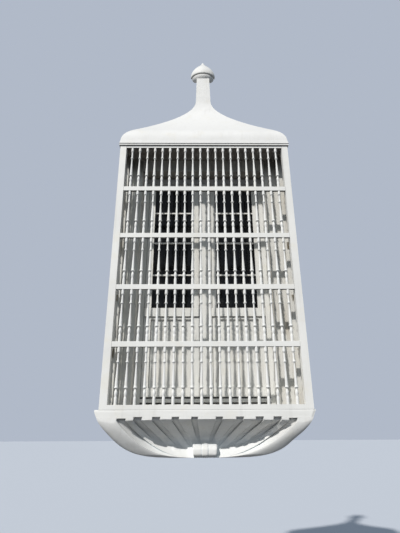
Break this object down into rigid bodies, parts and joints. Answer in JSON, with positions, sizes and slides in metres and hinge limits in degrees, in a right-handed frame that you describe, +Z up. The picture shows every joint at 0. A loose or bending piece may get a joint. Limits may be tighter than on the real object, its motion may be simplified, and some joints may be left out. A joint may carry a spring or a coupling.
{
  "type": "projecting baluster window screen",
  "caption": "Tall white window screen of turned wooden balusters that projects from a wall, with an ogee hood, a finial and a scallop-shell corbel, over a two-leaf window.",
  "frame": {"origin": "middle of the sill board's wall face, at half the board's thickness", "axes": "+X to the right as seen from the street, +Y into the wall, +Z up"},
  "size_m": [1.8576, 0.508, 4.652],
  "materials": {
    "grille_paint": "worn warm white paint on turned and sawn wood",
    "sill_paint": "worn warm white paint over coarse wood grain",
    "shell_paint": "thick chipped white paint",
    "hood_paint": "thick matt white paint",
    "recess_paint": "matt white paint",
    "window_paint": "dusty white paint",
    "window_glass": "dusty glass with a dark room behind"
  },
  "bodies": {
    "root": {"bottom_rail": "grille_paint", "cover_strip": "window_paint", "eaves_moulding": "hood_paint", "finial_cap": "hood_paint", "finial_cup": "hood_paint", "front_balusters_1": "grille_paint", "front_balusters_2": "grille_paint", "front_balusters_3": "grille_paint", "front_balusters_4": "grille_paint", "front_balusters_5": "grille_paint", "front_rail_1": "grille_paint", "front_rail_2": "grille_paint", "front_rail_3": "grille_paint", "front_rail_4": "grille_paint", "front_rail_5": "grille_paint", "front_stile_left": "grille_paint", "front_stile_right": "grille_paint", "hood": "hood_paint", "hood_neck": "hood_paint", "leaf_left": "window_paint", "leaf_panel_left": "window_paint", "leaf_panel_right": "window_paint", "leaf_right": "window_paint", "lining_ceiling": "recess_paint", "lining_floor": "recess_paint", "lining_left": "recess_paint", "lining_right": "recess_paint", "lock_moulding_left": "window_paint", "lock_moulding_right": "window_paint", "panes_left": "window_glass", "panes_right": "window_glass", "rear_stile_left": "recess_paint", "rear_stile_right": "recess_paint", "shell_corbel": "shell_paint", "shell_tie": "shell_paint", "side_balusters_left": "grille_paint", "side_balusters_right": "grille_paint", "side_rails_left": "grille_paint", "side_rails_right": "grille_paint", "sill_board": "sill_paint", "wall_board_left": "recess_paint", "wall_board_right": "recess_paint", "window_head": "window_paint", "window_jamb_left": "window_paint", "window_jamb_right": "window_paint", "window_sill": "window_paint"}
  },
  "joints": []
}
